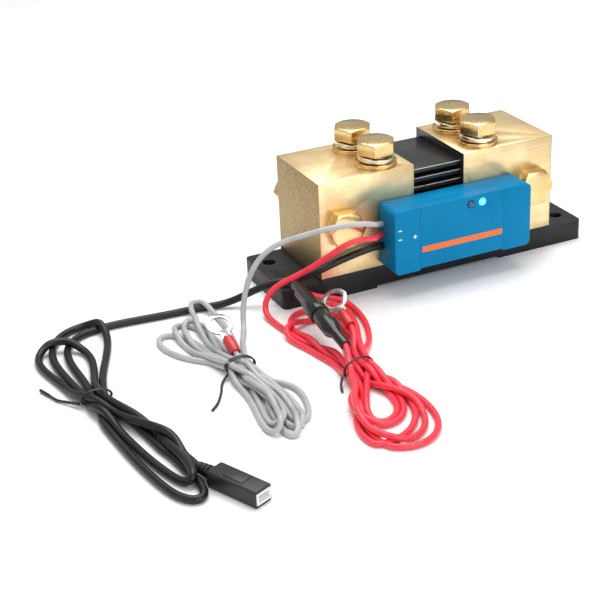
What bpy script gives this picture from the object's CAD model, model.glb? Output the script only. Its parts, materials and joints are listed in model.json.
"""Looks of a battery monitor shunt: brass blocks, a blue module and three tied leads."""

import json
import logging
import math
from collections.abc import Sequence
from dataclasses import dataclass
from enum import Enum

import bpy
import numpy as np
from mathutils import Matrix, Vector

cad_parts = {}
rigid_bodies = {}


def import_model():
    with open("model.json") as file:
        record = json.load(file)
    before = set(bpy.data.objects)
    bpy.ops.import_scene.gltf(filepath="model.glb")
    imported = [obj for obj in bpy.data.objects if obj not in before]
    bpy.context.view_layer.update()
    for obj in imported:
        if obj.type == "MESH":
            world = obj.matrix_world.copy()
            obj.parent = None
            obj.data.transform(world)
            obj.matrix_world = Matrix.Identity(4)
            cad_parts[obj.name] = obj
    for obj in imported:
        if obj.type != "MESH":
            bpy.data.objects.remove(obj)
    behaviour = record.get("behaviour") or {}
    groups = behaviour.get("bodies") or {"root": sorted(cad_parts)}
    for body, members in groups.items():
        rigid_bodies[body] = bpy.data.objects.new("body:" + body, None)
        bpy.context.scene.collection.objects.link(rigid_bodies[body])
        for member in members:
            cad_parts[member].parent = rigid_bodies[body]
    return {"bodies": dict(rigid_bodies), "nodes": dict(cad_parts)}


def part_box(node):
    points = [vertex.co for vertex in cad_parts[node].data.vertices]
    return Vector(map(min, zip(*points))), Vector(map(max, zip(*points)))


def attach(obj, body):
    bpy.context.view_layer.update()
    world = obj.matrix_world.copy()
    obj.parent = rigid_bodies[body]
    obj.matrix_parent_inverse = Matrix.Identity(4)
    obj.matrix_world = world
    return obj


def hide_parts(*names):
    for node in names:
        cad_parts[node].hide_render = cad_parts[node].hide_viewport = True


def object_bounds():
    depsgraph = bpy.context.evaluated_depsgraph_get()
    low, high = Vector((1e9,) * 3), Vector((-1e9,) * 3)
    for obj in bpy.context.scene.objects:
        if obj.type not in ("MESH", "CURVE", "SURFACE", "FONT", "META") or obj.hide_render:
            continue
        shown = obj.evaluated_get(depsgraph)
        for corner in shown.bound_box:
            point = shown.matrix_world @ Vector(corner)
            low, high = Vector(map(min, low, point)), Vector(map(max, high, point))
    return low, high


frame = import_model()
CAD_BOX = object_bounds()
MM = 0.001
ROOT = "shunt"

Point = tuple[float, float, float]
Colour = tuple[float, float, float]


# ---- Camera and light ----


@dataclass(frozen=True)
class Studio:
    """Floor, lights and camera, placed from the object's own box.

    Lengths are shares of the box's diagonal, so that they follow the object's size.
    """

    azimuth: float = -24.41
    elevation: float = 25.99
    roll: float = -2.61
    distance: float = 2.0339
    lens: float = 87.0
    aim: Point = (-0.0035, 0.1975, -0.1387)
    floor_width: float = 16.0
    floor_tone: float = 0.93
    room_light: float = 0.50
    clip: tuple[float, float] = (0.05, 20.0)

    def _frame(self) -> tuple[Vector, float]:
        """Return the middle of the object's box and the box's diagonal."""
        low, high = CAD_BOX
        return (low + high) / 2, (high - low).length

    def build_camera(self) -> None:
        """Make the camera and set it as the scene's own."""
        middle, size = self._frame()
        a, e, r = (math.radians(v) for v in (self.azimuth, self.elevation, self.roll))
        back = Vector((math.sin(a) * math.cos(e), -math.cos(a) * math.cos(e), math.sin(e)))
        data = bpy.data.cameras.new("camera")
        data.lens = self.lens
        data.clip_start, data.clip_end = self.clip
        camera = bpy.data.objects.new("camera", data)
        bpy.context.scene.collection.objects.link(camera)
        camera.location = middle + Vector(self.aim) * size + back * self.distance * size
        turn = (-back).to_track_quat("-Z", "Y").to_matrix().to_4x4()
        camera.rotation_euler = (turn @ Matrix.Rotation(r, 4, "Z")).to_euler()
        bpy.context.scene.camera = camera
        bpy.context.scene.view_settings.view_transform = "Standard"

    def build_floor(self) -> None:
        """Lay a plain pale floor under the object and light the room evenly."""
        middle, size = self._frame()
        clear_selection()
        bpy.ops.mesh.primitive_plane_add(
            size=self.floor_width * size, location=(middle.x, middle.y, 0)
        )
        floor = bpy.context.object
        floor.name = "floor"
        graph = Graph("floor_white")
        tone = self.floor_tone
        graph.bsdf.inputs["Base Color"].default_value = (tone, tone, tone, 1)
        graph.bsdf.inputs["Roughness"].default_value = 0.9
        graph.bsdf.inputs["Specular IOR Level"].default_value = 0.1
        floor.data.materials.append(graph.material)
        world = bpy.data.worlds.new("studio")
        world.use_nodes = True
        background = world.node_tree.nodes["Background"]
        background.inputs["Color"].default_value = (1, 1, 1, 1)
        background.inputs["Strength"].default_value = self.room_light
        bpy.context.scene.world = world

    def build_lights(self) -> None:
        """Hang soft boxes: one above behind, one at the front right, a low fill at the left."""
        middle, size = self._frame()
        boxes = (
            ("top", (0.25, 0.6, 2.1), 1.9, 7.0),
            ("front", (0.5, -2.2, 1.0), 2.2, 4.2),
            ("left", (-2.0, -0.3, 0.9), 1.2, 0.5),
        )
        for name, place, width, power in boxes:
            data = bpy.data.lights.new(name, "AREA")
            data.shape = "SQUARE"
            data.size = width * size
            data.energy = power
            lamp = bpy.data.objects.new(name, data)
            bpy.context.scene.collection.objects.link(lamp)
            lamp.location = middle + Vector(place) * size
            lamp.rotation_euler = (middle - lamp.location).to_track_quat("-Z", "Y").to_euler()


def clear_selection() -> None:
    """Deselect every object."""
    bpy.ops.object.select_all(action="DESELECT")


# ---- Shader graphs ----


class Signal:
    """A number from a node's socket, with arithmetic that adds Math nodes."""

    def __init__(self, graph: "Graph", socket: bpy.types.NodeSocket) -> None:
        """Wrap a socket of a graph."""
        self.graph = graph
        self.socket = socket

    def _math(self, operation: str, first: object, second: object = 0.0) -> "Signal":
        """Return a Math node's result for two values or signals."""
        return self.graph.node(
            "ShaderNodeMath", {"operation": operation}, {0: first, 1: second}
        )

    def __add__(self, other: object) -> "Signal":
        """Return self + other."""
        return self._math("ADD", self, other)

    def __sub__(self, other: object) -> "Signal":
        """Return self - other."""
        return self._math("SUBTRACT", self, other)

    def __mul__(self, other: object) -> "Signal":
        """Return self * other."""
        return self._math("MULTIPLY", self, other)

    def __truediv__(self, other: object) -> "Signal":
        """Return self / other."""
        return self._math("DIVIDE", self, other)

    def __rsub__(self, other: object) -> "Signal":
        """Return other - self."""
        return self._math("SUBTRACT", other, self)

    __radd__ = __add__
    __rmul__ = __mul__

    def __abs__(self) -> "Signal":
        """Return the absolute value."""
        return self._math("ABSOLUTE", self)

    def over(self, edge: float) -> "Signal":
        """Return 1 where the signal is over an edge, else 0."""
        return self._math("GREATER_THAN", self, edge)

    def under(self, edge: float) -> "Signal":
        """Return 1 where the signal is under an edge, else 0."""
        return self._math("LESS_THAN", self, edge)

    def fraction(self) -> "Signal":
        """Return the part after the decimal point."""
        return self._math("FRACT", self)

    def most(self, other: object) -> "Signal":
        """Return the greater of two."""
        return self._math("MAXIMUM", self, other)


class Graph:
    """A material's nodes, with its Principled shader at hand."""

    def __init__(self, name: str) -> None:
        """Make a material of that name."""
        self.material = bpy.data.materials.new(name)
        self.material.use_nodes = True
        self.tree = self.material.node_tree
        self.bsdf = self.tree.nodes["Principled BSDF"]
        self._axes: dict[str, Signal] | None = None

    def node(
        self,
        kind: str,
        settings: dict[str, object] | None = None,
        inputs: dict[object, object] | None = None,
        output: object = 0,
    ) -> Signal:
        """Add a node.

        Args:
            kind: The node's type.
            settings: Properties that are set before the inputs.
            inputs: Values or signals by socket name or index.
            output: The output that the result wraps.

        Returns:
            The signal at that output.
        """
        made = self.tree.nodes.new(kind)
        for key, value in (settings or {}).items():
            if key == "stops":
                self._stops(made.color_ramp, value)
            else:
                setattr(made, key, value)
        for key, value in (inputs or {}).items():
            self.feed(made.inputs[key], value)
        return Signal(self, made.outputs[output])

    def _stops(self, ramp: bpy.types.ColorRamp, stops: Sequence[tuple[float, Colour]]) -> None:
        """Set a ramp's stops."""
        while len(ramp.elements) < len(stops):
            ramp.elements.new(1.0)
        for element, (place, colour) in zip(ramp.elements, stops):
            element.position = place
            element.color = (*colour, 1)

    def feed(self, socket: bpy.types.NodeSocket, value: object) -> None:
        """Link a signal to a socket, or set a value on it."""
        if isinstance(value, Signal):
            self.tree.links.new(value.socket, socket)
        elif isinstance(value, tuple) and len(value) == 3 and socket.type == "RGBA":
            socket.default_value = (*value, 1)
        else:
            socket.default_value = value

    def place(self) -> Signal:
        """Return the point on the object, in metres."""
        return self.node("ShaderNodeTexCoord", output="Object")

    def axes(self) -> dict[str, Signal]:
        """Return the x, y and z of the point on the object, in millimetres."""
        if self._axes is None:
            split = self.tree.nodes.new("ShaderNodeSeparateXYZ")
            self.feed(split.inputs[0], self.place())
            self._axes = {
                n: Signal(self, split.outputs[i]) * (1 / MM) for i, n in enumerate("xyz")
            }
        return self._axes

    def stretched(self, scale: Point) -> Signal:
        """Return the point on the object with each axis scaled."""
        return self.node(
            "ShaderNodeMapping", {}, {"Vector": self.place(), "Scale": scale}
        )

    def noise(
        self, scale: float, detail: float = 3.0, rough: float = 0.5, at: Signal | None = None
    ) -> Signal:
        """Return noise from 0 to 1 at that scale per metre."""
        inputs = {
            "Vector": at or self.place(),
            "Scale": scale,
            "Detail": detail,
            "Roughness": rough,
        }
        return self.node("ShaderNodeTexNoise", {}, inputs, "Fac")

    def ramp(self, signal: Signal, *stops: tuple[float, Colour]) -> Signal:
        """Return a colour ramp of a signal."""
        return self.node("ShaderNodeValToRGB", {"stops": stops}, {"Fac": signal}, "Color")

    def grade(self, signal: Signal, low: float, high: float, out: tuple[float, float]) -> Signal:
        """Return the signal stretched from low..high to a range, and held inside it."""
        return self.node(
            "ShaderNodeMapRange",
            {"clamp": True},
            {
                "Value": signal, "From Min": low, "From Max": high,
                "To Min": out[0], "To Max": out[1],
            },
        )

    def mix(self, factor: object, first: object, second: object) -> Signal:
        """Return a mix of two colours, which sit on the Mix node's colour sockets."""
        factor_at, first_at, second_at, result_at = 0, 6, 7, 2
        return self.node(
            "ShaderNodeMix", {"data_type": "RGBA"},
            {factor_at: factor, first_at: first, second_at: second}, result_at,
        )

    def bump(self, height: Signal, depth: float, strength: float = 1.0) -> None:
        """Dent the surface by a height signal, depth in metres."""
        made = self.node(
            "ShaderNodeBump", {},
            {"Height": height, "Distance": depth, "Strength": strength}, "Normal",
        )
        self.set(Normal=made)

    def set(self, **sockets: object) -> None:
        """Set sockets of the Principled shader; an underscore stands for a space."""
        for name, value in sockets.items():
            self.feed(self.bsdf.inputs[name.replace("_", " ")], value)


def inside(signal: Signal, low: float, high: float) -> Signal:
    """Return 1 between two edges, else 0."""
    return signal.over(low) * signal.under(high)


# ---- Finishes ----


@dataclass(frozen=True)
class Moulded:
    """A moulded plastic with a fine grain, slight cloudiness and worn sheen."""

    name: str
    colour: Colour
    roughness: float = 0.42
    grain: float = 2600.0
    depth: float = 0.00004
    cloud: float = 0.12
    specular: float = 0.5

    def build(self) -> Graph:
        """Make the material and return its graph."""
        graph = Graph(self.name)
        cloud = graph.noise(38.0, 4.0)
        pale = tuple(min(1.0, c * (1 + self.cloud) + 0.002) for c in self.colour)
        dark = tuple(c * (1 - self.cloud) for c in self.colour)
        grain = graph.noise(self.grain, 2.0)
        rub = graph.noise(140.0, 5.0, 0.65)
        graph.set(
            Base_Color=graph.ramp(cloud, (0.3, dark), (0.7, pale)),
            Roughness=graph.grade(rub * 0.7 + grain * 0.3, 0.3, 0.7,
                                  (self.roughness - 0.05, self.roughness + 0.07)),
        )
        graph.bsdf.inputs["Specular IOR Level"].default_value = self.specular
        graph.bump(grain, self.depth, 0.6)
        return graph


class Face(Enum):
    """How a brass surface was worked."""

    MILLED = "milled"
    TURNED = "turned"
    PRESSED = "pressed"


@dataclass(frozen=True)
class Metal:
    """A bare metal with working marks, a slight tarnish and varied sheen."""

    name: str
    bright: Colour
    tarnish: Colour
    roughness: float
    face: Face = Face.PRESSED
    spread: float = 0.08

    def build(self) -> Graph:
        """Make the material and return its graph."""
        graph = Graph(self.name)
        if self.face is Face.MILLED:
            lines = graph.noise(1.0, 6.0, 0.7, graph.stretched((22.0, 1500.0, 1500.0)))
            bands = graph.noise(1.0, 3.0, 0.6, graph.stretched((9.0, 260.0, 260.0)))
            mark = lines * 0.6 + bands * 0.4
            depth = 0.00003
        elif self.face is Face.TURNED:
            mark = graph.noise(1400.0, 4.0, 0.6)
            depth = 0.000006
        else:
            mark = graph.noise(420.0, 4.0, 0.6)
            depth = 0.00002
        stain = graph.noise(75.0, 5.0, 0.62)
        graph.set(
            Base_Color=graph.mix(
                graph.grade(stain * 0.55 + mark * 0.45, 0.40, 0.62, (0.0, 1.0)),
                self.tarnish, self.bright,
            ),
            Roughness=graph.grade(
                mark, 0.3, 0.7, (self.roughness + self.spread, self.roughness - self.spread)
            ),
        )
        graph.bsdf.inputs["Metallic"].default_value = 1.0
        graph.bump(mark, depth, 0.5)
        return graph


@dataclass(frozen=True)
class Sheath:
    """The soft PVC of a lead: satin, faintly mottled, with a shallow drawn skin."""

    name: str
    colour: Colour
    roughness: float = 0.36
    specular: float = 0.5

    def build(self) -> Graph:
        """Make the material and return its graph."""
        graph = Graph(self.name)
        graph.bsdf.inputs["Specular IOR Level"].default_value = self.specular
        mottle = graph.noise(160.0, 4.0, 0.6)
        skin = graph.noise(1800.0, 3.0, 0.6)
        dark = tuple(c * 0.90 for c in self.colour)
        pale = tuple(min(1.0, c * 1.06 + 0.002) for c in self.colour)
        graph.set(
            Base_Color=graph.ramp(mottle, (0.32, dark), (0.68, pale)),
            Roughness=graph.grade(skin * 0.5 + mottle * 0.5, 0.35, 0.65,
                                  (self.roughness - 0.05, self.roughness + 0.08)),
        )
        graph.bump(skin, 0.00002, 0.4)
        return graph


@dataclass(frozen=True)
class Mark:
    """A printed rectangle on the front of the module, in millimetres."""

    x0: float
    x1: float
    z0: float
    z1: float

    def mask(self, graph: Graph) -> Signal:
        """Return 1 inside the mark."""
        axes = graph.axes()
        return inside(axes["x"], self.x0, self.x1) * inside(axes["z"], self.z0, self.z1)


@dataclass(frozen=True)
class BlueShell(Moulded):
    """The module's blue plastic with an orange stripe and plain white marks."""

    stripe: Mark = Mark(-18.5, 25.6, 21.4, 24.3)
    white: Colour = (0.85, 0.87, 0.90)
    orange: Colour = (0.84, 0.17, 0.05)

    def marks(self) -> tuple[Mark, ...]:
        """Return the plain signs beside the leads and under the lights."""
        half, thin = 0.95, 0.24
        signs = []
        for x, z, plus in ((-30.4, 34.9, False), (-30.4, 30.4, False), (-22.4, 30.4, True)):
            signs.append(Mark(x - half, x + half, z - thin, z + thin))
            if plus:
                signs.append(Mark(x - thin, x + thin, z - half, z + half))
        return tuple(signs)

    def build(self) -> Graph:
        """Make the material and return its graph."""
        graph = super().build()
        plain = Signal(graph, graph.bsdf.inputs["Base Color"].links[0].from_socket)
        front = graph.axes()["y"].under(MODULE_FRONT + 0.3)
        colour = graph.mix(self.stripe.mask(graph) * front, plain, self.orange)
        white = None
        for mark in self.marks():
            mask = mark.mask(graph)
            white = mask if white is None else white.most(mask)
        graph.set(Base_Color=graph.mix(white * front, colour, self.white))
        return graph


MODULE_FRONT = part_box("module_cover")[0].y / MM


@dataclass(frozen=True)
class BlockBrass(Metal):
    """Milled brass, browner on the sawn ends and painted black towards the plates."""

    painted_to: float = 13.75
    end_from: float = 63.85

    def build(self) -> Graph:
        """Make the material and return its graph."""
        graph = super().build()
        milled = Signal(graph, graph.bsdf.inputs["Base Color"].links[0].from_socket)
        rough = Signal(graph, graph.bsdf.inputs["Roughness"].links[0].from_socket)
        out = abs(graph.axes()["x"])
        end, paint = out.over(self.end_from), out.under(self.painted_to)
        saw = graph.noise(1.0, 5.0, 0.7, graph.stretched((300.0, 420.0, 900.0)))
        sawn = graph.ramp(saw, (0.3, (0.30, 0.21, 0.10)), (0.7, (0.50, 0.37, 0.19)))
        colour = graph.mix(end, milled, sawn)
        graph.set(
            Base_Color=graph.mix(paint, colour, (0.012, 0.012, 0.012)),
            Roughness=rough * (1 - end) + end * 0.5,
            Metallic=1 - paint,
        )
        return graph


@dataclass(frozen=True)
class Enamel(Moulded):
    """Black paint on the resistor plates, rubbed bare along their front top edges."""

    pitch: float = 4.5
    top: float = 0.0
    front: float = 0.0
    rub: float = 0.22

    def build(self) -> Graph:
        """Make the material and return its graph."""
        graph = super().build()
        paint = Signal(graph, graph.bsdf.inputs["Base Color"].links[0].from_socket)
        axes = graph.axes()
        below = ((self.top - axes["z"]) / self.pitch + 0.0001).fraction() * self.pitch
        edge = below.under(self.rub) * axes["y"].under(self.front + self.rub)
        worn = edge * graph.noise(300.0, 4.0).over(0.36)
        graph.set(
            Base_Color=graph.mix(worn, paint, (0.55, 0.54, 0.50)),
            Roughness=graph.grade(worn, 0.0, 1.0, (self.roughness, 0.35)),
        )
        return graph


@dataclass(frozen=True)
class Lens:
    """A clear tinted light pipe, lit or dark."""

    name: str
    colour: Colour
    glow: float

    def build(self) -> Graph:
        """Make the material and return its graph."""
        graph = Graph(self.name)
        axes = graph.axes()
        depth = graph.grade(axes["y"], MODULE_FRONT - 1.2, MODULE_FRONT + 1.5, (1.0, 0.55))
        graph.set(
            Base_Color=graph.mix(depth, (0.0, 0.01, 0.02), self.colour),
            Roughness=graph.grade(graph.noise(500.0), 0.3, 0.7, (0.08, 0.16)),
        )
        graph.bsdf.inputs["Coat Weight"].default_value = 0.6
        if self.glow > 0:
            graph.set(Emission_Color=graph.mix(depth, (0.0, 0.2, 0.6), (0.10, 0.62, 1.0)))
            graph.bsdf.inputs["Emission Strength"].default_value = self.glow
        return graph


# ---- Strands ----


def smooth_line(points: Sequence[Point], step: float) -> np.ndarray:
    """Return a smooth line through points.

    Args:
        points: What the line passes through, in millimetres.
        step: The spacing of the result's points.

    Returns:
        Evenly spaced points on a centripetal Catmull-Rom curve.
    """
    p = np.array(points, float)
    p = np.vstack([2 * p[0] - p[1], p, 2 * p[-1] - p[-2]])
    k = np.concatenate([[0], np.cumsum(np.sqrt(np.linalg.norm(np.diff(p, axis=0), axis=1)))])
    found = []
    for i in range(1, len(p) - 2):
        t = np.linspace(k[i], k[i + 1], 24, endpoint=False)[:, None]
        a = [
            ((k[j + 1] - t) * p[j] + (t - k[j]) * p[j + 1]) / (k[j + 1] - k[j])
            for j in (i - 1, i, i + 1)
        ]
        b = [
            ((k[j + 2] - t) * a[m] + (t - k[j]) * a[m + 1]) / (k[j + 2] - k[j])
            for m, j in ((0, i - 1), (1, i))
        ]
        found.append(((k[i + 1] - t) * b[0] + (t - k[i]) * b[1]) / (k[i + 1] - k[i]))
    found.append(p[-2][None])
    return even_line(np.vstack(found), step)


def even_line(line: np.ndarray, step: float) -> np.ndarray:
    """Return the line with points a step apart."""
    run = np.concatenate([[0], np.cumsum(np.linalg.norm(np.diff(line, axis=0), axis=1))])
    places = np.linspace(0, run[-1], max(8, int(round(run[-1] / step))) + 1)
    return np.column_stack([np.interp(places, run, line[:, i]) for i in range(3)])


def line_length(line: np.ndarray) -> float:
    """Return a line's length."""
    return float(np.linalg.norm(np.diff(line, axis=0), axis=1).sum())


@dataclass(frozen=True)
class Obstacle:
    """Something round that strands lie against: a line with a radius, in millimetres."""

    line: np.ndarray
    radius: float


@dataclass(frozen=True)
class Slab:
    """A flat-topped box that strands lie on or against, in millimetres."""

    front: float
    left: float
    right: float
    top: float


@dataclass
class Settling:
    """Lets the strands of a tied lead come to rest side by side and on each other."""

    diameter: float
    fixed: np.ndarray
    obstacles: Sequence[Obstacle] = ()
    slab: Slab | None = None
    tie: Point | None = None
    rounds: int = 260
    quick_rounds: int = 10
    rounds_per_search: int = 8
    sag: float = 0.05
    hold: float = 0.05
    long_bend: float = 0.35
    stiffness: float = 0.10
    tie_reach: float = 16
    tie_side: float = 13
    tie_slope: float = 0.26

    def run(self, line: np.ndarray) -> np.ndarray:
        """Return the settled line.

        Args:
            line: Evenly spaced points of the lead, in millimetres.

        Returns:
            As many points, with no strand inside another or under the floor.
        """
        home, now = line.copy(), line.copy()
        step = np.linalg.norm(np.diff(line, axis=0), axis=1).mean()
        skip = int(math.ceil(1.9 * self.diameter / step))
        free = (self.fixed < 1)[:, None].astype(float)
        for turn in range(self.rounds):
            if turn % self.rounds_per_search == 0:
                near = self._pairs(now, skip)
                beside = [self._nearest(now, block) for block in self.obstacles]
            push = self._apart(now, *near)
            for block, spots in zip(self.obstacles, beside):
                push += self._off(now, block, spots)
            push = self._spread(push)
            pull = (home - now) * self.hold
            pull[:, 2] = -self.sag
            bend = np.zeros_like(now)
            bend[2:-2] = 0.5 * (now[:-4] + now[4:]) - now[2:-2]
            bend[4:-4] += self.long_bend * (0.5 * (now[:-8] + now[8:]) - now[4:-4])
            late = min(1.0, 1.6 * (1 - turn / self.rounds))
            now = now + free * (push + pull * late + self.stiffness * bend)
            if self.tie:
                now = self._squeeze(now, self.tie)
            now[:, 2] = np.maximum(now[:, 2], self.diameter / 2)
            if self.slab:
                now = self._slide_off(now)
        now = home + (now - home) * (1 - self.fixed)[:, None]
        return self._ease(now, free)

    def _pairs(self, now: np.ndarray, skip: int) -> tuple[np.ndarray, np.ndarray]:
        """Return pairs of points that are near each other and not next to each other."""
        reach = 2.0 * self.diameter
        cell = np.floor(now[:, :2] / reach).astype(int)
        found: dict[tuple[int, int], list[int]] = {}
        for i, key in enumerate(map(tuple, cell)):
            found.setdefault(key, []).append(i)
        first, second = [], []
        for (cx, cy), members in found.items():
            others = [
                j
                for dx in (-1, 0, 1)
                for dy in (-1, 0, 1)
                for j in found.get((cx + dx, cy + dy), ())
            ]
            m, o = np.array(members), np.array(sorted(others))
            i, j = np.meshgrid(m, o, indexing="ij")
            keep = (j - i) > skip
            first.append(i[keep])
            second.append(j[keep])
        i, j = np.concatenate(first), np.concatenate(second)
        keep = np.linalg.norm(now[i] - now[j], axis=1) < reach
        return i[keep], j[keep]

    def _apart(self, now: np.ndarray, i: np.ndarray, j: np.ndarray) -> np.ndarray:
        """Return pushes that part overlapping strands."""
        gap = now[i] - now[j]
        far = np.linalg.norm(gap, axis=1)
        deep = np.maximum(self.diameter - far, 0)
        push = gap / np.maximum(far, 1e-6)[:, None] * (0.5 * deep)[:, None]
        total = np.zeros_like(now)
        count = np.zeros(len(now))
        np.add.at(total, i, push)
        np.add.at(total, j, -push)
        np.add.at(count, i, deep > 0)
        np.add.at(count, j, deep > 0)
        return total / np.maximum(1, 0.4 * count)[:, None]

    def _squeeze(self, now: np.ndarray, tie: Point) -> np.ndarray:
        """Return the line with its strands drawn together at the tie.

        Args:
            now: The line's points.
            tie: The tie's x, its y and half the width that it leaves the strands.
        """
        x, y, half = tie
        along, aside = abs(now[:, 1] - y), now[:, 0] - x
        held = (along < self.tie_reach) & (abs(aside) < self.tie_side) & (self.fixed < 1)
        reach = half + self.tie_slope * along
        now[:, 0] = np.where(held, x + np.clip(aside, -reach, reach), now[:, 0])
        return now

    @staticmethod
    def _ease(now: np.ndarray, free: np.ndarray) -> np.ndarray:
        """Return the line with its small kinks eased out."""
        for _ in range(8):
            eased = now.copy()
            eased[1:-1] = 0.25 * now[:-2] + 0.5 * now[1:-1] + 0.25 * now[2:]
            now = now + free * (eased - now)
        return now

    @staticmethod
    def _nearest(now: np.ndarray, block: Obstacle) -> np.ndarray:
        """Return, for each point, the index of the obstacle's nearest point."""
        square = (now**2).sum(1)[:, None] + (block.line**2).sum(1)[None]
        return (square - 2 * now @ block.line.T).argmin(axis=1)

    def _off(self, now: np.ndarray, block: Obstacle, spots: np.ndarray) -> np.ndarray:
        """Return pushes that move strands off an obstacle."""
        gap = now - block.line[spots]
        far = np.linalg.norm(gap, axis=1)
        deep = np.maximum(block.radius + self.diameter / 2 - far, 0)
        return gap / np.maximum(far, 1e-6)[:, None] * (0.8 * deep)[:, None]

    def _spread(self, push: np.ndarray) -> np.ndarray:
        """Return pushes shared with the neighbouring points, so that no kink forms."""
        for _ in range(3):
            wide = push.copy()
            wide[1:-1] = 0.25 * push[:-2] + 0.5 * push[1:-1] + 0.25 * push[2:]
            push = wide
        return push * 1.3

    def _slide_off(self, now: np.ndarray) -> np.ndarray:
        """Return the line kept out of the slab, up or to its front, whichever is nearer."""
        r, s = self.diameter / 2, self.slab
        over = s.top + r - now[:, 2]
        back = now[:, 1] - (s.front - r)
        within = (now[:, 0] > s.left) & (now[:, 0] < s.right) & (over > 0) & (back > 0)
        up = within & (over <= back)
        out = within & ~up & (self.fixed < 1)
        now[up & (self.fixed < 1), 2] = s.top + r
        now[out, 1] = s.front - r
        return now


# ---- Leads ----

# How far apart two strands of a lead settle, as a share of its diameter.
STRAND_SPACE = 1.01


@dataclass(frozen=True)
class LeadPlan:
    """What a lead is: its size, its route from the module, and its turns through the tie.

    Points are in millimetres. The route is the free stretch to the hank, turns are the
    rest in order, and tail is the last stretch, which stays where it is.
    """

    name: str
    body_nodes: tuple[str, ...]
    diameter: float
    exit: Point
    route: tuple[Point, ...]
    turns: tuple[Point, ...]
    tail: tuple[Point, ...]
    length: float
    far_end: str
    with_pieces: tuple[str, ...]
    tie: Point


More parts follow.
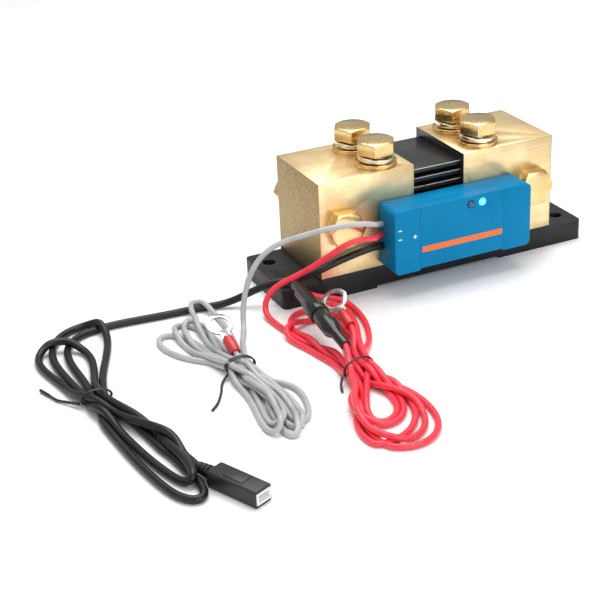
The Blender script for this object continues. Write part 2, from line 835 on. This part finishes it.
GREY_ROUTE = (
    (-29.2, -24.9, 35), (-33, -24.9, 35), (-35.6, -26.2, 35.6), (-38.2, -29.2, 37),
    (-41, -33.4, 39.2), (-43.8, -37.2, 41.2), (-47.5, -39.2, 43), (-52, -39.8, 44.2),
    (-57, -39.6, 44.8), (-62, -38.6, 44.8), (-67, -36.6, 44), (-72.5, -34, 42.6),
    (-78, -31, 40.8), (-84, -28, 38.8), (-90, -25.6, 36), (-95, -24.4, 32.4),
    (-99.5, -24, 27.2), (-103, -24.2, 20.8), (-105.6, -25.4, 14.4), (-107.6, -27.4, 8.4),
    (-109, -30.4, 4), (-110.8, -34.6, 1.8), (-113, -39, 1.4), (-115.6, -43.6, 1.5),
)
GREY_TURNS = (
    (-118.4, -52, 1.6), (-120.3, -60, 3.2), (-121.8, -68, 5.4),
    # right-hand lower turn
    (-121.0, -77, 6.2), (-117.2, -81, 5.6), (-112.9, -83.4, 4.4), (-110.4, -88, 2.6),
    (-110.6, -96, 1.6), (-113.3, -107.8, 1.4), (-116.4, -117.2, 1.4), (-119.6, -122.6, 1.4),
    (-123.4, -123.4, 1.4), (-125.2, -118.6, 1.4), (-123.6, -108, 1.4), (-121.6, -97, 1.4),
    (-121.4, -86, 1.6), (-122.9, -76, 1.8), (-123.4, -67, 1.6),
    # tall upper turn, over the black lead
    (-122.0, -58, 1.5), (-119.8, -48, 1.5), (-117.4, -38.5, 1.6), (-115.6, -28, 1.8),
    (-114.9, -17, 2.4), (-115.2, -6, 4.9), (-116.8, 2.0, 5.2), (-120.2, 6.2, 4.9),
    (-123.8, 2.6, 5.2), (-125.8, -7, 5.2), (-127.0, -17, 5.2), (-128.2, -29, 5.6),
    (-128.9, -38, 6.2), (-129.5, -48.2, 6.9),
    (-128.9, -57.5, 7.1), (-127.7, -66.0, 7.4), (-127.6, -72.6, 7.6),
    # long lower turn
    (-125.4, -82.8, 7.6), (-122.6, -91.8, 7.0), (-120.9, -100.2, 5.6), (-121.2, -110, 4),
    (-123.4, -121, 2.2), (-126.0, -129.4, 1.4), (-129.6, -133.0, 1.4), (-132.6, -130.2, 1.4),
    (-132.0, -121, 1.4), (-129.4, -110, 1.4), (-126.6, -98, 1.4), (-125.0, -87, 1.6),
    (-125.2, -76, 1.7), (-125.9, -66, 1.6),
    # upper turn under the others
    (-126.2, -56, 1.5), (-125.4, -45, 1.4), (-124.9, -34, 1.4), (-126.0, -21, 1.4),
    (-129.0, -11.6, 1.7), (-133.8, -8.2, 2), (-138.4, -12.6, 2), (-139.8, -23, 2),
    (-139.4, -34.6, 2), (-137.7, -45.8, 2.2), (-135.0, -55.7, 2.8), (-132.7, -66.3, 3.8),
    (-131.2, -74.7, 4.8),
    # short lower turn
    (-129.0, -82.0, 6.2), (-124.9, -87.6, 6.0), (-122.8, -94.6, 4.8), (-123.6, -103, 3.6),
    (-125.9, -112.4, 2.4), (-128.8, -119.8, 1.5), (-132.2, -123.6, 1.4), (-135.4, -121.0, 1.4),
    (-134.8, -112, 1.4), (-131.6, -100, 1.4), (-129.2, -88, 1.6), (-128.6, -77, 1.7),
    (-128.7, -67, 1.6),
    # second upper turn
    (-128.6, -57, 1.6), (-127.8, -46, 2.2), (-126.0, -35, 2.8), (-124.6, -24, 2.8),
    (-126.2, -13.8, 3), (-130.2, -9.6, 3), (-134.0, -14.0, 3), (-135.8, -24, 3),
    (-135.8, -34, 3), (-134.5, -42.6, 3.4), (-132.4, -51.6, 4), (-130.6, -61.4, 5),
    (-129.0, -72.5, 6.4),
    # lower turn on the right
    (-125.4, -78.4, 7.2), (-121.4, -82.4, 6.6), (-118.7, -88.1, 5.8), (-117.1, -95.9, 4.8),
    (-117.6, -104.9, 3.8), (-119.6, -115.2, 2.6), (-122.4, -123.8, 1.6), (-125.4, -127.6, 1.4),
    (-128.4, -125.6, 1.4), (-128.6, -116, 1.4), (-127.2, -104, 1.4), (-127.2, -92, 1.6),
    (-129.0, -81, 1.9), (-131.0, -70.6, 2.0),
    # outer upper turn on the left
    (-131.6, -61, 1.6), (-132.2, -51, 1.4), (-133.0, -41, 1.4), (-135.0, -30, 1.4),
    (-138.0, -20.6, 1.5), (-143.0, -15.4, 1.5), (-148.2, -17.6, 1.4), (-150.2, -25.2, 1.4),
    (-148.8, -34.0, 1.4), (-145.8, -41.8, 1.4), (-141.8, -49.4, 1.4), (-138.0, -57.8, 1.6),
    (-135.0, -66.6, 2.4), (-132.9, -76.6, 2.6),
    # left lower turn
    (-132.0, -85.6, 1.8), (-133.6, -98.1, 1.4), (-135.8, -110.1, 1.4), (-138.0, -119.6, 1.4),
    (-137.4, -126.0, 1.4), (-133.8, -128.2, 1.5), (-130.9, -124.0, 2.0), (-129.6, -116.4, 3.0),
    (-127.8, -107.4, 4.4), (-126.7, -98.6, 5.2), (-127.5, -91.2, 5.8), (-129.2, -84.6, 6.0),
    (-128.2, -76.6, 5.0), (-126.2, -69.8, 4.4), (-125.2, -64.2, 4.8),
)
GREY_TAIL = ((-124.8, -59.2, 5.5), (-124.8, -53.6, 7.4))

RED_ROUTE = (
    (-29.2, -24.9, 29.6), (-33, -24.9, 29.6), (-36, -26.6, 30.2), (-39, -30.2, 31.4),
    (-42, -34.6, 33), (-45.5, -37.8, 34.8), (-50, -39.2, 36), (-55, -39.3, 36.2),
    (-60, -38.4, 34.6), (-65, -36, 31), (-70, -32.4, 26.4), (-75, -28, 21.6),
    (-80, -23.6, 17.4), (-84.5, -20.6, 14.4), (-89, -19.4, 11.2), (-92.6, -20, 7.2),
    (-94.4, -22.6, 3.8), (-94.8, -27, 1.9), (-94.6, -33, 1.5), (-94.2, -38, 1.5),
)
RED_TURNS = (
    (-93.0, -47, 1.5), (-90.2, -58, 1.6), (-87.0, -70, 2.4), (-85.2, -82, 4), (-85.8, -92, 5.4),
    # widest lower turn
    (-88.4, -101, 5), (-93.4, -112, 3), (-98.6, -125, 1.6), (-102.6, -138, 1.5),
    (-102.6, -150, 1.5), (-98.0, -157.6, 1.5), (-91, -160.3, 1.5), (-84, -159.4, 1.5),
    (-76.5, -153.9, 1.5), (-71.7, -144.6, 1.5), (-69.9, -130.6, 1.6), (-71.6, -116, 2.2),
    (-75.4, -103.6, 3), (-78.4, -94.6, 2.6),
    # widest upper turn
    (-75.5, -83, 1.8), (-70.2, -70, 1.5), (-65.4, -56, 1.5), (-63.9, -43, 1.5),
    (-67, -32, 1.5), (-74, -26.6, 1.5), (-82, -27.0, 1.5), (-88.6, -33.5, 1.5),
    (-91.2, -45, 1.5), (-90, -58, 2), (-87, -72, 2.4), (-84.9, -86, 2.8), (-84.4, -97, 2.6),
    # second lower turn
    (-89.4, -108, 2.2), (-96.2, -120, 1.6), (-103.2, -132, 1.5), (-106.9, -143.6, 1.5),
    (-104.4, -151.6, 1.5), (-97.6, -153.3, 1.6), (-87.7, -148.9, 1.8), (-79.4, -140.5, 2),
    (-74.6, -130.5, 2.2), (-74.0, -117, 3), (-77.4, -105.4, 4), (-80.6, -95.4, 5.2),
    # upper turn under the fuse holder
    (-77.8, -83.6, 4.4), (-72.9, -70, 3.2), (-69.0, -56.5, 2.4), (-67.8, -46.6, 2),
    (-70.4, -39.8, 1.8), (-77, -37.6, 1.6), (-85, -38.6, 1.5), (-92, -41.4, 1.5),
    (-96.6, -44.2, 1.5), (-97.6, -49.4, 1.5), (-94.4, -56.4, 1.5), (-90.8, -66, 1.6),
    (-87.8, -78, 2.4), (-86.8, -88, 3.6), (-87.6, -97, 5.2),
    # inner lower turn
    (-92, -106, 4.6), (-97.3, -116, 3.2), (-101.4, -125.6, 2.6), (-102.4, -133.6, 3.2),
    (-98.3, -140.0, 3.6), (-90.5, -140.6, 3.8), (-83, -135.5, 4), (-78.3, -127.1, 4.2),
    (-76.9, -116.6, 4.8), (-78.0, -105.2, 6.4), (-79.6, -96, 7.4),
    # upper turn at the right, leaning on the base's edge
    (-75.8, -83, 6.0), (-70.2, -69, 5.0), (-64.0, -54, 5.6), (-58.6, -41, 7.8),
    (-57.0, -31.5, 9.8), (-60.6, -26.2, 11.2), (-66, -28, 10.8), (-70, -37, 9.4),
    (-72.6, -50, 7.4), (-75.2, -65, 6.2), (-78.4, -80, 6.6), (-81.4, -90.6, 7.6),
    (-83.0, -98, 8.0),
    # lower turn on the top right
    (-82.4, -106, 7.6), (-79.0, -115, 6.2), (-75.4, -125, 4.8), (-74.4, -136, 3.8),
    (-79, -148, 3.4), (-88.4, -155, 3.2), (-97.6, -154.6, 3.2), (-103.0, -146, 3.2),
    (-102.6, -132, 3.4), (-97.6, -118, 4.6), (-92.0, -107, 6.2), (-88.6, -98.4, 8.0),
    (-86.4, -92.4, 9.8),
)
FUSE_LINE = ((-85.3, -87.8, 12.1), (-84.2, -71.2, 13.3), (-83.1, -54.5, 14.4), (-81.6, -30.2, 16.0))
HOLDER_LINE = (
    (-84.5, -76, 12.9), (-84.2, -71.2, 13.3), (-83.1, -54.5, 14.4), (-82.2, -39, 15.4),
)
HOLDER_RADIUS = 4.3
RED_LOOP = (
    (-80.9, -26.4, 15.7), (-78.6, -24.2, 14.7), (-75.2, -23.8, 13.6), (-71, -24.4, 12.9),
    (-65, -25.2, 12.7), (-59.5, -28, 12), (-56, -34, 9.4), (-55.4, -42, 6.4), (-57, -52, 4),
    (-61, -63, 3), (-66.5, -75, 3), (-72.5, -86, 4), (-77.4, -95, 5.8),
    # lower turn that crosses over from the right
    (-82.4, -103, 8.6), (-88.6, -112, 7.2), (-94.6, -120.4, 5.6), (-98.6, -129, 5),
    (-98.4, -136, 4.8), (-94, -140.2, 4.6), (-87, -138.4, 4.6), (-81.2, -130.6, 5),
    (-79.4, -120, 5.6), (-80.0, -109, 7), (-81.4, -99.6, 9.0), (-79.8, -90, 9.0),
    (-76.0, -80, 8.2), (-73.0, -72.4, 7.8),
)
RED_TAIL = ((-71.5, -66, 8.1), (-71.0, -58.6, 10.1))

BLACK_ROUTE = (
    (-29.2, -24.9, 23.8), (-33, -24.9, 23.8), (-39, -25, 23.8), (-46, -24.9, 22.9),
    (-53, -24.5, 21.4), (-60, -24, 19.6), (-66, -23.1, 17.6), (-72, -20.6, 15.2),
    (-78, -17, 13.2), (-84, -14, 12.2), (-90, -11.4, 10.2), (-96, -8.6, 7.4),
    (-102, -6, 4.4), (-108, -3.8, 2.5), (-115, -1.8, 1.8), (-125, -0.6, 1.8),
    (-136, 0.2, 1.8), (-147, 1.4, 1.8), (-157, 2.4, 1.8), (-166, 2.8, 1.8), (-173.6, 2.4, 1.8),
)
BLACK_TURNS = (
    (-180, 0.4, 1.75), (-185, -4.9, 1.75), (-189, -14.1, 1.75), (-190.3, -24.6, 1.75),
    (-189.8, -36, 1.75), (-189.4, -48, 1.8), (-190.6, -60, 2),
    # outer lower turn
    (-192.6, -72, 1.8), (-193.4, -84.1, 1.75), (-192.8, -107.4, 1.75), (-190.9, -125.8, 1.75),
    (-188.6, -140.8, 1.75), (-186.2, -150.5, 1.75), (-181.6, -156.5, 1.75),
    (-176.4, -155.6, 1.75), (-175.2, -149, 1.75), (-176.6, -136.9, 1.75),
    (-177.2, -122.6, 1.75), (-178, -109, 1.75), (-180.2, -97.1, 1.75), (-183.4, -82.4, 1.8),
    (-186.6, -68, 2.2),
    # right upper turn, over the lead
    (-186.9, -56, 2.0), (-181.6, -43, 1.8), (-174.9, -28.3, 1.75), (-169.0, -14.5, 1.9),
    (-165.9, -4.4, 4.2), (-165.4, 2.6, 5.4), (-168.3, 8.3, 3.4), (-175.1, 10.2, 1.8),
    (-182.7, 7.4, 1.75), (-189.5, 1.4, 1.75), (-194, -5.7, 1.75), (-196.1, -14, 1.75),
    (-196.4, -26.9, 1.75), (-195.4, -40.2, 1.75), (-194.4, -54.9, 1.9), (-194.0, -64, 2.2),
    # inner lower turn
    (-192.2, -76, 4.0), (-189.9, -94.1, 3.0), (-187.2, -116, 1.8), (-183.8, -132.5, 1.8),
    (-181.0, -142.5, 2.4), (-177.4, -146.6, 4.2), (-174.8, -142.0, 4.8), (-175.4, -131, 4.8),
    (-176.4, -118, 4.8), (-178.4, -105, 4.8), (-181.4, -91, 4.8), (-185, -77, 5.0),
    (-188.2, -64, 5.6),
    # left upper turn, over the lead and the first turn
    (-187.6, -52, 4.4), (-184.4, -40.6, 2.4), (-180.4, -28.1, 1.8), (-179.2, -17.4, 2.2),
    (-182.2, -9.6, 4.4), (-188.4, -6.0, 5.5), (-195.2, -4.7, 5.5), (-200.2, -7.0, 3.4),
    (-203.2, -12.6, 1.9), (-203.4, -21.4, 1.75), (-200.6, -34, 1.75), (-197.9, -48, 2.0),
    (-195.6, -60, 4.6),
    # strand to the plug, over the bundle
    (-191.8, -70, 6.8), (-186.8, -80, 7.2), (-181.8, -91.5, 7.4), (-178.0, -105, 7.4),
    (-175.6, -117.9, 6.2), (-174.2, -127, 4.6),
)
BLACK_TAIL = ((-173.2, -134.2, 3.7), (-171.3, -138.4, 3.7), (-168.9, -143.9, 3.7))

LEADS = (
    LeadPlan(
        "black_cord", ("black_lead", "black_hank"), 3.5, (-33.1, -24.9, 23.8),
        BLACK_ROUTE, BLACK_TURNS, BLACK_TAIL, 0.95, "plug",
        ("plug_housing", "plug_relief", "plug_header"), (-191.0, -63, 4.2),
    ),
    LeadPlan(
        "grey_cord", ("grey_lead", "grey_hank"), 2.6, (-33.1, -24.9, 35),
        GREY_ROUTE, GREY_TURNS, GREY_TAIL, 1.23, "fitting",
        ("grey_ring_terminal", "grey_sleeve"), (-126.8, -68, 4.4),
    ),
    LeadPlan(
        "red_cord", ("red_lead", "red_hank"), 2.8, (-33.1, -24.9, 29.6),
        RED_ROUTE, (*RED_TURNS, *FUSE_LINE, *RED_LOOP), RED_TAIL, 1.41, "fitting",
        ("red_ring_terminal", "red_sleeve", "fuse_body", "fuse_cap", "fuse_link"),
        (-84.0, -97, 5.0),
    ),
)


@dataclass
class Lead:
    """One of the module's leads, settled where its hank is tied and dressed in its sheath."""

    plan: LeadPlan
    sheath: Sheath
    neighbours: Sequence[Obstacle]
    slab: Slab | None = None
    step: float = 1.0
    pinned_spans: Sequence[tuple[Point, Point]] = ()
    ramp: int = 15
    line: np.ndarray | None = None

    def settle(self) -> np.ndarray:
        """Return the lead's line in millimetres."""
        plan = self.plan
        line = smooth_line((*plan.route, *plan.turns, *plan.tail), self.step)
        fixed = np.zeros(len(line))
        spans = ((plan.route[0], plan.route[-3]), (plan.tail[0], plan.tail[-1]))
        for first, last in (*spans, *self.pinned_spans):
            start, end = self._nearest(line, first), self._nearest(line, last)
            fixed[start : end + 1] = 1
            for away in range(1, self.ramp):
                weight = 0.5 + 0.5 * math.cos(math.pi * away / self.ramp)
                for spot in (start - away, end + away):
                    if 0 <= spot < len(line):
                        fixed[spot] = max(fixed[spot], weight)
        resting = Settling(
            plan.diameter * STRAND_SPACE, fixed, self.neighbours, self.slab, plan.tie
        )
        return even_line(resting.run(line), self.step)

    @staticmethod
    def _nearest(line: np.ndarray, point: Point) -> int:
        """Return the index of the line's point nearest to a point."""
        return int(np.linalg.norm(line - np.array(point), axis=1).argmin())

    def build(self, line: np.ndarray) -> bpy.types.Object:
        """Make the lead's curve.

        Args:
            line: The settled line in millimetres.

        Returns:
            The curve, with its finish and its body.
        """
        curve = bpy.data.curves.new(self.plan.name, "CURVE")
        curve.dimensions = "3D"
        curve.bevel_depth = self.plan.diameter / 2 * MM
        curve.bevel_resolution = 4
        curve.use_fill_caps = True
        spline = curve.splines.new("POLY")
        spline.points.add(len(line) - 1)
        spline.points.foreach_set(
            "co", np.column_stack([line * MM, np.ones(len(line))]).ravel()
        )
        spline.use_smooth = True
        lead = bpy.data.objects.new(self.plan.name, curve)
        bpy.context.scene.collection.objects.link(lead)
        lead.data.materials.append(self.sheath.build().material)
        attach(lead, ROOT)
        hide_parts(*self.plan.body_nodes)
        return lead

    def declare(self, lead: bpy.types.Object, ends: dict[str, bpy.types.Object]) -> None:
        """State the lead's length, thickness and ends."""
        plan = self.plan
        plan.diameter * MM


# ---- Pieces ----


def soften(node: str, edge: float, finish: object, body: str = ROOT) -> bpy.types.Object:
    """Make a smooth-edged copy of a CAD node.

    Args:
        node: The node's name.
        edge: How far its sharp edges are rounded, in millimetres.
        finish: The finish that dresses it.
        body: The body that it rides on.

    Returns:
        The piece that stands for the node.
    """
    source = frame["nodes"][node]
    piece = source.copy()
    piece.data = source.data.copy()
    piece.parent = None
    piece.name = node + "_piece"
    bpy.context.scene.collection.objects.link(piece)
    clear_selection()
    piece.select_set(True)
    bpy.context.view_layer.objects.active = piece
    bpy.ops.object.mode_set(mode="EDIT")
    bpy.ops.mesh.select_all(action="SELECT")
    bpy.ops.mesh.remove_doubles(threshold=2e-6)
    bpy.ops.mesh.dissolve_limited(angle_limit=math.radians(0.5))
    bpy.ops.mesh.normals_make_consistent(inside=False)
    bpy.ops.object.mode_set(mode="OBJECT")
    bevel = piece.modifiers.new("edges", "BEVEL")
    bevel.width = edge * MM
    bevel.segments = 2
    bevel.limit_method = "ANGLE"
    bevel.angle_limit = math.radians(30)
    bpy.ops.object.modifier_apply(modifier="edges")
    bpy.ops.object.shade_smooth_by_angle(angle=math.radians(40))
    piece.data.materials.clear()
    piece.data.materials.append(dressed(finish))
    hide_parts(node)
    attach(piece, body)
    return piece


_MATERIALS: dict[object, bpy.types.Material] = {}


def dressed(finish: object) -> bpy.types.Material:
    """Return the finish's material, made once."""
    if finish not in _MATERIALS:
        _MATERIALS[finish] = finish.build().material
    return _MATERIALS[finish]


def repaint(node: str, finish: object) -> None:
    """Give a hidden CAD node a finish in place of its plain colour."""
    for slot in frame["nodes"][node].material_slots:
        slot.material = dressed(finish)


NYLON = Moulded("black_nylon", (0.008, 0.008, 0.009), 0.42, cloud=0.25, specular=0.32)
BRASS = BlockBrass("block_brass", (0.97, 0.78, 0.46), (0.78, 0.57, 0.29), 0.40, Face.MILLED)
BOLT_BRASS = Metal("bolt_brass", (0.90, 0.68, 0.34), (0.68, 0.48, 0.21), 0.24, Face.TURNED)
SPRING = Metal("spring_bronze", (0.93, 0.88, 0.76), (0.72, 0.64, 0.48), 0.20, Face.TURNED)
WASHER = Metal("washer_brass", (0.84, 0.62, 0.30), (0.62, 0.42, 0.18), 0.24, Face.TURNED)
STEEL = Metal("zinc_steel", (0.75, 0.76, 0.78), (0.45, 0.46, 0.47), 0.30)
TINNED = Metal("tinned_copper", (0.46, 0.46, 0.45), (0.26, 0.26, 0.25), 0.26)
BLUE = BlueShell("blue_shell", (0.0, 0.185, 0.385), 0.42, cloud=0.05, specular=0.08)
GREEN = Moulded("board_mask", (0.02, 0.12, 0.05), 0.3)
CHIP = Moulded("chip_epoxy", (0.02, 0.02, 0.02), 0.5)
RUBBER = Moulded("clamp_rubber", (0.02, 0.02, 0.02), 0.6)
HOLDER = Moulded("holder_black", (0.008, 0.008, 0.009), 0.2, depth=0.00001, cloud=0.2)
CONNECTOR = Moulded("connector_black", (0.009, 0.009, 0.010), 0.45, 900.0, 0.00006)
WHITE_NYLON = Moulded("white_nylon", (0.80, 0.80, 0.77), 0.4, cloud=0.05)
SLEEVE_RED = Moulded("sleeve_red", (0.58, 0.03, 0.03), 0.35)
TIE_BLACK = Moulded("tie_black", (0.012, 0.012, 0.012), 0.35)
GLASS = Moulded("fuse_glass", (0.6, 0.65, 0.62), 0.1)
DARK_LENS = Lens("dark_lens", (0.01, 0.05, 0.16), 0.0)
LIT_LENS = Lens("lit_lens", (0.05, 0.55, 1.0), 2.2)
RED_SHEATH = Sheath("red_sheath", (0.86, 0.035, 0.065))
GREY_SHEATH = Sheath("grey_sheath", (0.42, 0.43, 0.44))
BLACK_SHEATH = Sheath("black_sheath", (0.008, 0.008, 0.009), 0.36, 0.35)


@dataclass
class Foundation:
    """The moulded base and the screws that hold the blocks to it."""

    edge: float = 0.6

    def build(self) -> None:
        """Make and dress the base."""
        soften("base_plate", self.edge, NYLON)
        repaint("block_screws", STEEL)


@dataclass
class Conductor:
    """The two brass blocks and the resistor plates brazed between them."""

    block_edge: float = 0.35
    plate_edge: float = 0.15
    pitch: float = 4.5

    def build(self) -> None:
        """Make and dress the blocks and plates."""
        for node in ("load_block", "battery_block"):
            soften(node, self.block_edge, BRASS)
        low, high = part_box("resistor_plates")
        enamel = Enamel(
            "plate_enamel", (0.010, 0.010, 0.010), 0.32,
            pitch=self.pitch, top=high.z / MM, front=low.y / MM,
        )
        soften("resistor_plates", self.plate_edge, enamel)


@dataclass
class Terminal:
    """One bolt, with its spring washer and flat washer where it has them."""

    name: str
    head_edge: float = 0.35
    washer_edge: float = 0.25

    def build(self) -> None:
        """Make and dress the terminal's pieces."""
        soften(self.name + "_bolt", self.head_edge, BOLT_BRASS, self.name + "_screw")
        washers = self.name + "_washers"
        if washers in frame["bodies"]:
            soften(self.name + "_spring_washer", self.washer_edge, SPRING, washers)
            soften(self.name + "_flat_washer", self.washer_edge, WASHER, washers)


@dataclass
class ElectronicsModule:
    """The blue module: housing, cover, lights, clamp and what is inside."""

    body_edge: float = 1.1
    cover_edge: float = 0.8
    lens_edge: float = 0.2
    clamp_edge: float = 0.15

    def build(self) -> None:
        """Make and dress the module's pieces."""
        soften("module_body", self.body_edge, BLUE)
        soften("module_cover", self.cover_edge, BLUE)
        soften("error_light", self.lens_edge, DARK_LENS)
        soften("link_light", self.lens_edge, LIT_LENS)
        soften("lead_clamp", self.clamp_edge, RUBBER)
        inner = (
            ("circuit_board", GREEN), ("controller_chip", CHIP), ("radio_module", STEEL),
            ("sense_sleeves", BOLT_BRASS), ("sense_screws", STEEL),
        )
        for node, finish in inner:
            repaint(node, finish)


@dataclass
class LeadEnds:
    """What the leads carry: ring terminals, the fuse holder and the plug."""

    edges: tuple[tuple[str, float, object], ...] = (
        ("grey_ring_terminal", 0.15, TINNED), ("red_ring_terminal", 0.15, TINNED),
        ("grey_sleeve", 0.2, SLEEVE_RED), ("red_sleeve", 0.2, SLEEVE_RED),
        ("fuse_body", 0.4, HOLDER), ("fuse_cap", 0.4, HOLDER),
        ("plug_housing", 0.4, CONNECTOR), ("plug_relief", 0.2, CONNECTOR),
        ("plug_header", 0.1, WHITE_NYLON),
    )

    def build(self) -> dict[str, bpy.types.Object]:
        """Make and dress every end piece.

        Returns:
            The pieces by the names of the nodes that they stand for.
        """
        pieces = {node: soften(node, edge, finish) for node, edge, finish in self.edges}
        repaint("fuse_link", GLASS)
        pieces["fuse_link"] = frame["nodes"]["fuse_link"]
        return pieces


class TieKind(Enum):
    """The kinds of tie on the hanks."""

    DOUBLE_WIRE = "double wire with a flat tail"
    RING = "single ring with a short tail"
    TWISTED = "ring with a long twisted tail"


@dataclass
class Tie:
    """A tie round a hank: one or two loops and a tail."""

    name: str
    kind: TieKind
    cord: str
    middle: Point
    turn: float
    tail: tuple[Point, ...]
    half_width: float = 8.0
    half_height: float = 4.5
    wire: float = 0.55
    tail_width: float = 1.0
    window: tuple[float, float] = (13.0, 1.5)

    def wrap(self, line: np.ndarray, diameter: float) -> None:
        """Fit the loops closely round the settled strands."""
        x, y, _ = self.middle
        aside, along = self.window
        held = line[(abs(line[:, 1] - y) < along) & (abs(line[:, 0] - x) < aside)]
        (left, right), top = (held[:, 0].min(), held[:, 0].max()), held[:, 2].max()
        spare = diameter / 2 + self.wire
        self.middle = ((left + right) / 2, y, (top + spare) / 2)
        self.half_width = (right - left) / 2 + spare
        self.half_height = (top + spare) / 2 - self.wire / 2

    def build(self) -> bpy.types.Object:
        """Make and dress the tie.

        Returns:
            The tie as one piece.
        """
        loops = (-0.7, 0.8) if self.kind is TieKind.DOUBLE_WIRE else (0.0,)
        parts = [self._loop(shift) for shift in loops]
        parts.append(self._tail())
        clear_selection()
        for part in parts:
            part.select_set(True)
        bpy.context.view_layer.objects.active = parts[0]
        bpy.ops.object.join()
        tie = bpy.context.object
        tie.name = self.name + "_piece"
        bpy.ops.object.transform_apply(location=True, rotation=True, scale=True)
        bpy.ops.object.shade_smooth_by_angle(angle=math.radians(50))
        tie.data.materials.append(dressed(TIE_BLACK))
        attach(tie, ROOT)
        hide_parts(self.name)
        return tie

    def _loop(self, shift: float) -> bpy.types.Object:
        """Return one loop round the hank, shifted along it."""
        clear_selection()
        bpy.ops.mesh.primitive_torus_add(
            major_segments=64, minor_segments=10, major_radius=self.half_width * MM,
            minor_radius=self.wire * MM, rotation=(math.radians(90), 0, 0),
        )
        loop = bpy.context.object
        bpy.ops.object.transform_apply(location=True, rotation=True, scale=True)
        bpy.ops.object.mode_set(mode="EDIT")
        bpy.ops.mesh.select_all(action="SELECT")
        flat = self.half_height / self.half_width
        bpy.ops.transform.resize(value=(1, 1, flat))
        bpy.ops.object.mode_set(mode="OBJECT")
        loop.rotation_euler = (0, 0, math.radians(self.turn))
        x, y, z = self.middle
        loop.location = (x * MM, (y + shift) * MM, max(z, self.half_height + self.wire) * MM)
        bpy.ops.object.transform_apply(location=True, rotation=True, scale=True)
        return loop

    def _tail(self) -> bpy.types.Object:
        """Return the tail, extruded from one point of its path to the next."""
        path = smooth_line(self.tail, 1.2) * MM
        twisted = self.kind is TieKind.TWISTED
        first = Vector(path[1]) - Vector(path[0])
        clear_selection()
        bpy.ops.mesh.primitive_circle_add(
            vertices=8, radius=self.tail_width / 2 * MM, fill_type="NGON",
            location=path[0], rotation=first.to_track_quat("Z", "Y").to_euler(),
        )
        tail = bpy.context.object
        bpy.ops.object.mode_set(mode="EDIT")
        bpy.ops.mesh.select_all(action="SELECT")
        for before, after in zip(path, path[1:]):
            step = Vector(after) - Vector(before)
            bpy.ops.mesh.extrude_region_move(TRANSFORM_OT_translate={"value": step})
            if twisted:
                swell = 1.18 if int(round(after[1] / MM)) % 2 else 1 / 1.18
                bpy.ops.transform.resize(value=(swell, swell, swell))
        bpy.ops.object.mode_set(mode="OBJECT")
        bpy.ops.object.transform_apply(location=True, rotation=True, scale=True)
        return tail


TIES = (
    Tie(
        "grey_tie", TieKind.DOUBLE_WIRE, "grey_cord", (-126.4, -68, 4.4), -4,
        ((-133.4, -69, 2.0), (-137.5, -73, 1.0), (-141, -80, 0.6), (-146, -88, 0.6),
         (-150, -92, 0.6)), wire=0.45, tail_width=1.2,
    ),
    Tie(
        "red_tie", TieKind.RING, "red_cord", (-84, -97, 5.2), 8,
        ((-92.4, -98, 3.4), (-94.6, -101, 1.6), (-96.0, -105, 0.8)), wire=0.6, tail_width=1.2,
    ),
    Tie(
        "black_tie", TieKind.TWISTED, "black_cord", (-191.4, -63, 4.4), -4,
        ((-198, -62, 2.4), (-202.1, -55.4, 1.2), (-204.6, -51.9, 1.0), (-206.6, -45.6, 1.0),
         (-208.5, -39.8, 1.0)), wire=0.6, tail_width=1.2,
    ),
)


def to_obstacle(line: Sequence[Point] | np.ndarray, radius: float) -> Obstacle:
    """Return an obstacle with points every 1.5 mm."""
    return Obstacle(smooth_line([tuple(p) for p in line], 1.5), radius)


def lay_leads(log: logging.Logger) -> list[tuple[Lead, bpy.types.Object]]:
    """Settle and make the three leads, each round those before it."""
    low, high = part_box("base_plate")
    slab = Slab(low.y / MM, low.x / MM, high.x / MM, 10.0)
    sheaths = {"black_cord": BLACK_SHEATH, "grey_cord": GREY_SHEATH, "red_cord": RED_SHEATH}
    fuse = to_obstacle(HOLDER_LINE, HOLDER_RADIUS)
    made: list[tuple[Lead, bpy.types.Object]] = []
    taken: list[Obstacle] = []
    for plan in LEADS:
        red = plan.name == "red_cord"
        spans = ((FUSE_LINE[0], FUSE_LINE[-1]),) if red else ()
        blocks = (*taken, fuse) if red else tuple(taken)
        lead = Lead(plan, sheaths[plan.name], blocks, slab, pinned_spans=spans)
        lead.line = line = lead.settle()
        taken.append(Obstacle(line, plan.diameter / 2))
        piece = lead.build(line)
        made.append((lead, piece))
        log.info("%s: %.0f mm", plan.name, line_length(line))
    return made


def main() -> None:
    """Build the studio and every sub-assembly in order."""
    logging.basicConfig(level=logging.INFO, format="%(message)s")
    log = logging.getLogger("shunt")
    studio = Studio()
    studio.build_camera()
    leads = lay_leads(log)
    Foundation().build()
    log.info("base made")
    Conductor().build()
    log.info("blocks and plates made")
    for body in frame["bodies"]:
        if body.endswith("_screw"):
            Terminal(body.removesuffix("_screw")).build()
            log.info("%s made", body.removesuffix("_screw"))
    ElectronicsModule().build()
    log.info("module made")
    ends = LeadEnds().build()
    for lead, piece in leads:
        lead.declare(piece, ends)
    lines = {lead.plan.name: lead for lead, _ in leads}
    for tie in TIES:
        held = lines[tie.cord]
        tie.wrap(held.line, held.plan.diameter)
        tie.build()
        log.info("%s made", tie.name)
    studio.build_floor()
    studio.build_lights()


if __name__ == "__main__":
    main()
